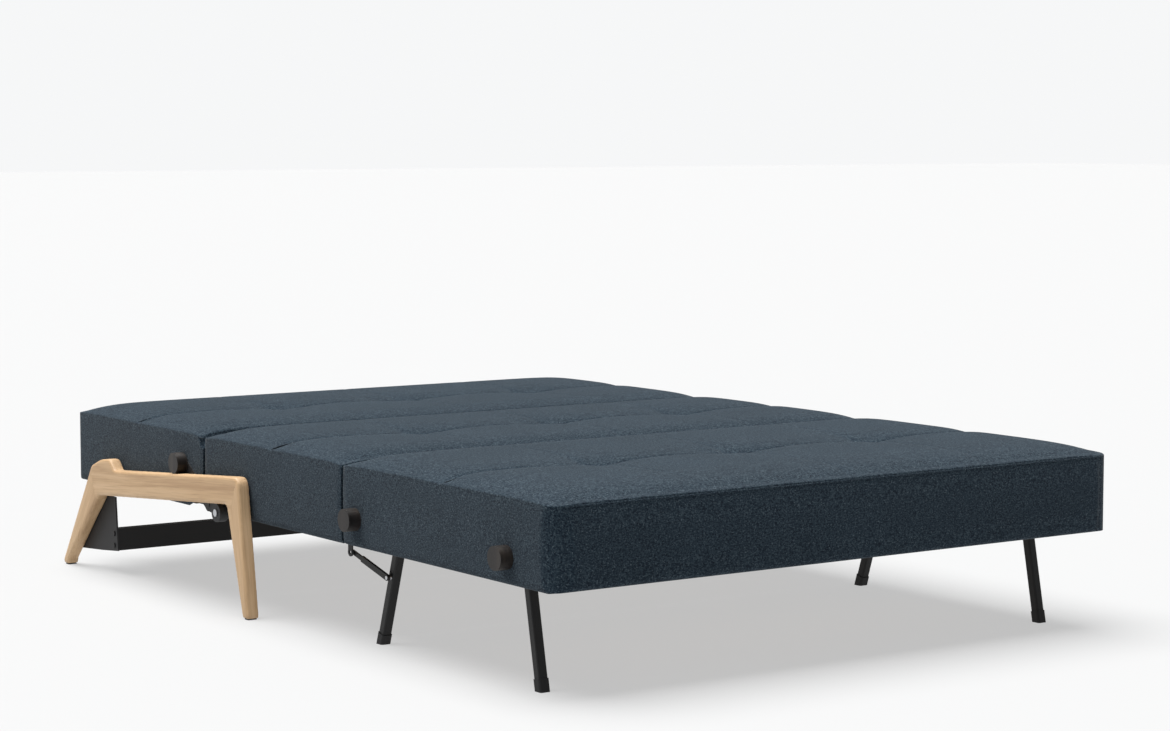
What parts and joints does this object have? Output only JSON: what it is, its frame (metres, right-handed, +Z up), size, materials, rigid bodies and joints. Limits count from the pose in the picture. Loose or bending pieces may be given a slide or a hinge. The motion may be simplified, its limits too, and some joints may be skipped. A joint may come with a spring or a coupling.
{
  "type": "futon sofa bed",
  "caption": "Sofa bed opened flat: three padded sections on two wooden trestles and folding steel legs; seat slides, back tilts, leaf folds under.",
  "frame": {"origin": "on the floor, at the centre of the object's outline seen from above", "axes": "+X to the right, +Y from the foot end to the head end, +Z up"},
  "size_m": [1.466, 2.0194, 0.3685],
  "materials": {
    "oak": "satin oiled",
    "birch": "satin",
    "dark_wood": "satin stained",
    "black_steel": "satin powder coat",
    "grey_steel": "matt powder coat",
    "zinc": "satin",
    "black_plastic": "matt",
    "roller_plastic": "matt",
    "foam": "matt",
    "fabric": "woven, heathered"
  },
  "bodies": {
    "base": {"left_front_leg": "oak", "right_front_leg": "oak", "left_top_rail": "oak", "right_top_rail": "oak", "left_rear_leg": "oak", "right_rear_leg": "oak", "trestle_dowels": "birch", "foot_glides": "black_plastic", "left_gusset": "grey_steel", "right_gusset": "grey_steel", "gusset_screws": "zinc", "cross_beam": "black_steel", "beam_bolts": "black_steel"},
    "seat": {"seat_side_rails": "black_steel", "seat_end_rails": "black_steel", "seat_slats": "birch", "seat_foam": "foam", "seat_cover": "fabric", "guide_plates": "grey_steel", "guide_spacers": "zinc", "guide_bolts": "black_steel", "pivot_pins": "zinc", "pivot_knobs": "dark_wood", "roller_axles": "zinc", "strut_brackets": "grey_steel", "seat_hinge_leaves": "zinc"},
    "guide_rollers": {"guide_rollers": "roller_plastic"},
    "back": {"back_side_rails": "black_steel", "back_end_rails": "black_steel", "back_slats": "birch", "back_foam": "foam", "back_cover": "fabric", "pivot_lugs": "grey_steel", "pivot_bushes": "birch"},
    "leaf": {"leaf_side_rails": "black_steel", "leaf_end_rails": "black_steel", "leaf_slats": "birch", "leaf_foam": "foam", "leaf_cover": "fabric", "leaf_knobs": "dark_wood", "leaf_knob_bolts": "zinc", "leaf_hinge_leaves": "zinc", "hinge_pins": "zinc", "leg_bearings": "black_steel"},
    "rear_legs": {"rear_leg_tubes": "black_steel", "rear_leg_cross_tube": "black_steel", "rear_leg_caps": "black_plastic", "strut_rivets": "zinc"},
    "front_legs": {"front_leg_tubes": "black_steel", "front_leg_cross_tube": "black_steel", "front_leg_caps": "black_plastic"},
    "struts": {"support_struts": "black_steel"}
  },
  "joints": [
    {"name": "seat_slide", "type": "slide", "parent": "base", "child": "seat", "axis": [0, 0.9969, -0.0785], "range_m": [0, 0.27]},
    {"name": "roller_spin", "type": "hinge", "parent": "seat", "child": "guide_rollers", "pos_m": [0, 0.229, 0.21055], "axis": [1, 0, 0], "range_deg": [-5, 780]},
    {"name": "back_tilt", "type": "hinge", "parent": "seat", "child": "back", "pos_m": [0, 0.425, 0.29874], "axis": [1, 0, 0], "range_deg": [0, 70]},
    {"name": "leaf_fold", "type": "hinge", "parent": "seat", "child": "leaf", "pos_m": [0, -0.275, 0.203], "axis": [1, 0, 0], "range_deg": [0, 180]},
    {"name": "rear_leg_fold", "type": "hinge", "parent": "leaf", "child": "rear_legs", "pos_m": [0, -0.38677, 0.217], "axis": [-1, 0, 0], "range_deg": [0, 108.8]},
    {"name": "front_leg_fold", "type": "hinge", "parent": "leaf", "child": "front_legs", "pos_m": [0, -0.84703, 0.217], "axis": [1, 0, 0], "range_deg": [0, 101.7]},
    {"name": "strut_swing", "type": "hinge", "parent": "rear_legs", "child": "struts", "pos_m": [0, -0.36196, 0.142], "axis": [1, 0, 0], "range_deg": [0, 99.3]}
  ],
  "couplings": [
    {"joint": "roller_spin", "follows": "seat_slide", "rad_per_m": 50},
    {"joint": "rear_leg_fold", "follows": "leaf_fold", "ratio": 0.6017},
    {"joint": "front_leg_fold", "follows": "leaf_fold", "ratio": 0.5622},
    {"joint": "strut_swing", "follows": "leaf_fold", "ratio": 0.5489}
  ]
}
